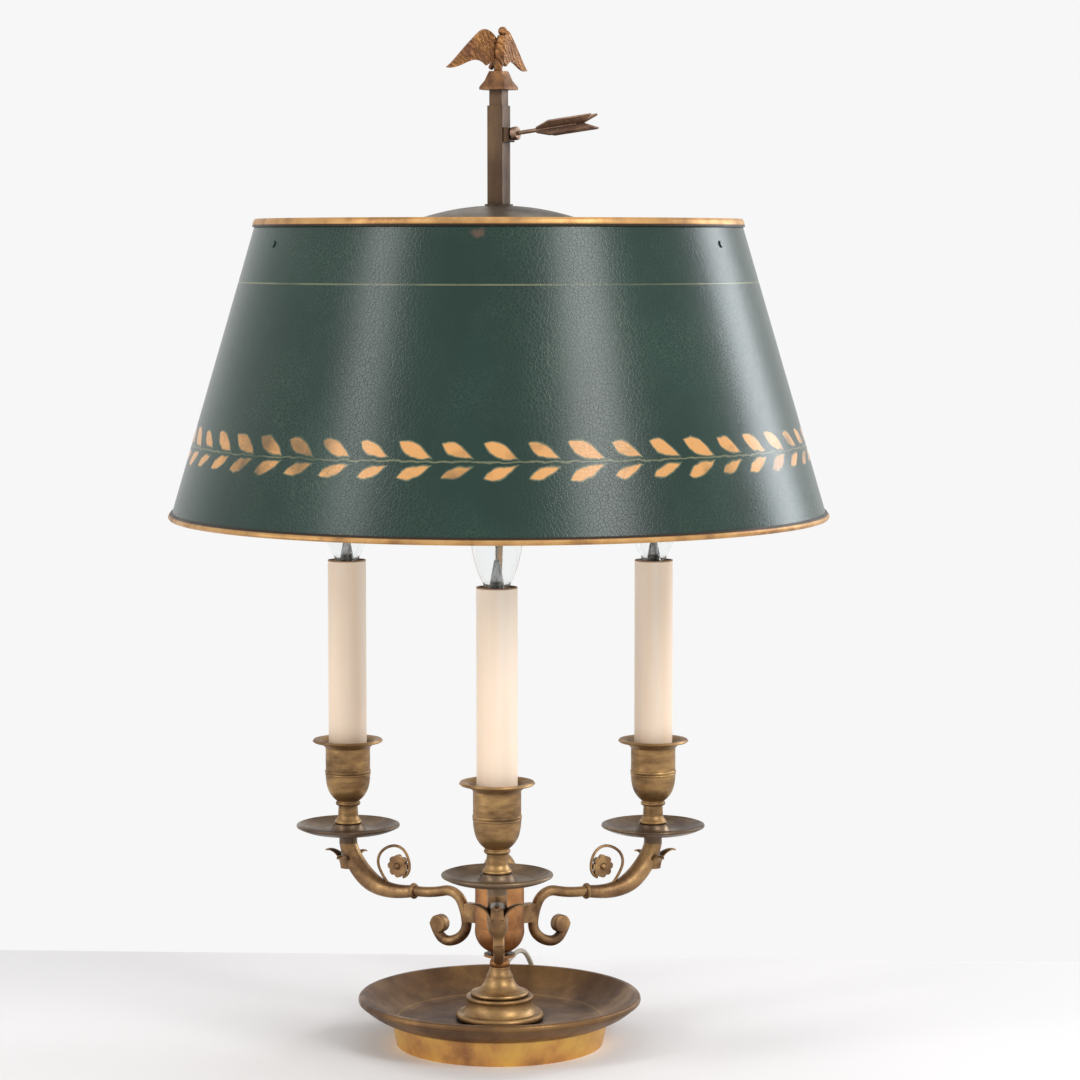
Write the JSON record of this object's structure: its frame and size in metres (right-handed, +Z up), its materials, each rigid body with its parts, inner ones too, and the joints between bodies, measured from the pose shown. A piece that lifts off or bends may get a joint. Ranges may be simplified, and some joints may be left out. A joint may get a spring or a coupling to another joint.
{
  "type": "table_lamp",
  "caption": "Bouillotte table lamp: dish base, urn with candle arms, and a tapered green metal shade that slides on a square bar and is held by an arrow key under an eagle finial.",
  "frame": {"origin": "centre of the foot ring on the table plane", "axes": "+Z up along the stem; -Y towards the viewer of the picture, along the front arm; +X to the viewer's right"},
  "size_m": [0.4223, 0.4224, 0.654],
  "materials": {
    "aged_brass": "cast and turned brass with a brown aged patina",
    "gilt_rim": "gilt edge bead, worn",
    "tole_green": "dark green painted sheet metal with fine crackle",
    "candle_cream": "cream candle sleeve",
    "clear_glass": "clear bulb glass",
    "filament": "fine wire and glass stem",
    "cap_brass": "bright screw cap",
    "socket_black": "moulded socket",
    "steel": "plain threaded steel",
    "cord_gold": "clear gold flexible cord",
    "plug_brown": "brown moulded plastic",
    "rocker_ivory": "ivory rocker",
    "pin_brass": "plain brass blades"
  },
  "bodies": {
    "stand": {"base_dish": "aged_brass", "pedestal": "aged_brass", "neck_knop": "aged_brass", "urn_body": "aged_brass", "urn_cap": "aged_brass", "centre_rod": "aged_brass", "guide_bar": "aged_brass", "finial_rock": "aged_brass", "finial_eagle": "aged_brass", "tie_pipe": "steel", "floor_washer": "steel", "floor_nut": "steel", "arm_screws": "steel", "arm_1": "aged_brass", "tendril_1": "aged_brass", "drip_pan_1": "aged_brass", "candle_cup_1": "aged_brass", "socket_nipple_1": "steel", "lamp_socket_1": "socket_black", "candle_sleeve_1": "candle_cream", "bulb_cap_1": "cap_brass", "bulb_glass_1": "clear_glass", "bulb_mount_1": "filament", "arm_2": "aged_brass", "tendril_2": "aged_brass", "drip_pan_2": "aged_brass", "candle_cup_2": "aged_brass", "socket_nipple_2": "steel", "lamp_socket_2": "socket_black", "candle_sleeve_2": "candle_cream", "bulb_cap_2": "cap_brass", "bulb_glass_2": "clear_glass", "bulb_mount_2": "filament", "arm_3": "aged_brass", "tendril_3": "aged_brass", "drip_pan_3": "aged_brass", "candle_cup_3": "aged_brass", "socket_nipple_3": "steel", "lamp_socket_3": "socket_black", "candle_sleeve_3": "candle_cream", "bulb_cap_3": "cap_brass", "bulb_glass_3": "clear_glass", "bulb_mount_3": "filament", "cord_lead": "cord_gold", "cord_link": "cord_gold", "cord_coil": "cord_gold", "cord_tail": "cord_gold", "cord_bush": "plug_brown", "switch_case": "plug_brown", "plug_body": "plug_brown", "plug_pins": "pin_brass"},
    "shade": {"shade_cone": "tole_green", "shade_top_rim": "gilt_rim", "shade_bottom_rim": "gilt_rim", "shade_spider": "aged_brass", "spider_rivets": "aged_brass", "slide_tube": "aged_brass", "key_boss": "aged_brass"},
    "key": {"key_screw": "aged_brass"},
    "rocker": {"switch_rocker": "rocker_ivory"}
  },
  "joints": [
    {"name": "shade_slide", "type": "slide", "parent": "stand", "child": "shade", "axis": [0, 0, 1], "range_m": [-0.1, 0.0095]},
    {"name": "key_turn", "type": "hinge", "parent": "shade", "child": "key", "pos_m": [0.00481, -0.00245, 0.586], "axis": [0.8844, -0.4506, 0.1219], "range_deg": [0, 270]},
    {"name": "switch_rock", "type": "hinge", "parent": "stand", "child": "rocker", "pos_m": [-0.03165, 0.1494, 0.0122], "axis": [0.1641, -0.9864, 0], "range_deg": [-16, 0]}
  ]
}
